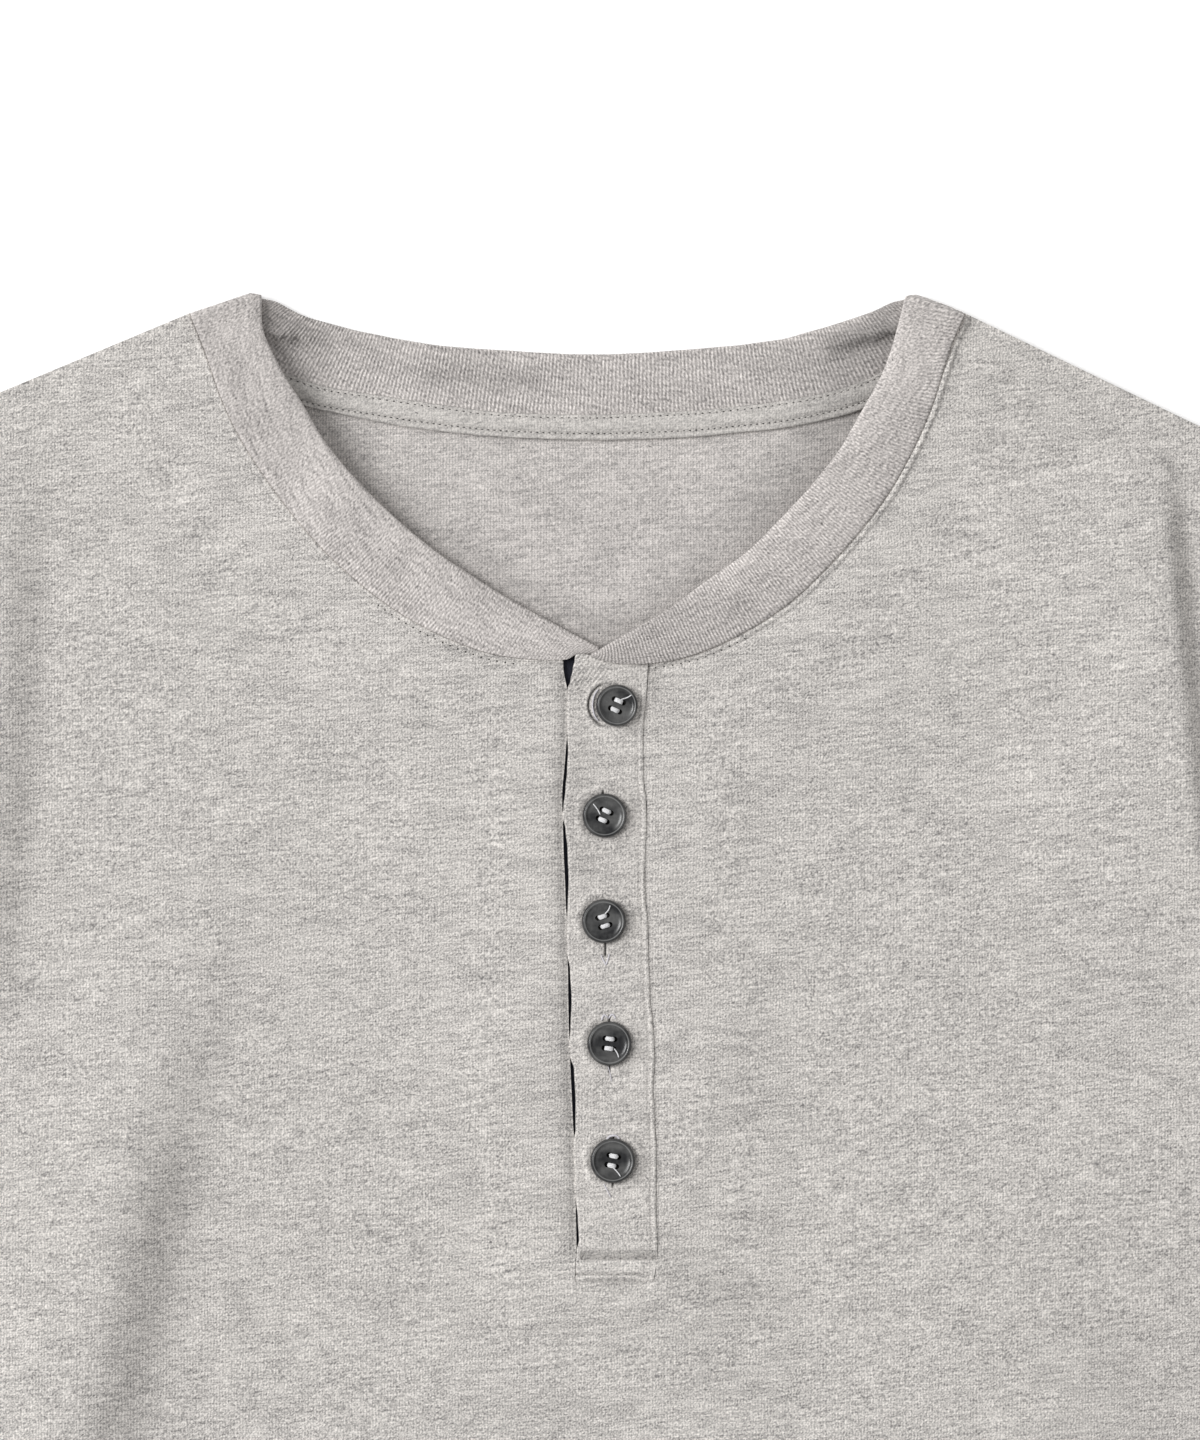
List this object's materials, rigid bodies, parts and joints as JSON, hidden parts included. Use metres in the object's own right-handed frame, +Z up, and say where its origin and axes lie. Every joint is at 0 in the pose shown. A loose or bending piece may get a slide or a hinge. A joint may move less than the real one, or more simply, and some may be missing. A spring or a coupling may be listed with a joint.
{
  "type": "henley shirt",
  "caption": "Long-sleeved knit henley shirt laid flat, with a ribbed neckband and a buttoned placket that laps wearer's left over right.",
  "frame": {"origin": "centre of the part's footprint, on the surface that the shirt lies on", "axes": "+Z up from the surface, +Y towards the neck, +X towards the wearer's left sleeve"},
  "size_m": [1.3124, 0.7194, 0.0096],
  "materials": {
    "grey_jersey": "heathered single jersey, matt",
    "grey_rib": "heathered one-by-one rib, matt",
    "navy_cotton": "plain dark cotton, matt",
    "button_grey": "marbled dark grey, polished"
  },
  "bodies": {
    "root": {"front": "grey_jersey", "back": "grey_jersey", "sleeve_left": "grey_jersey", "sleeve_right": "grey_jersey", "neckband": "grey_rib", "neck_tape": "grey_jersey", "placket_top": "grey_jersey", "placket_under": "navy_cotton", "button_1": "button_grey", "button_2": "button_grey", "button_3": "button_grey", "button_4": "button_grey", "button_5": "button_grey"}
  },
  "joints": []
}
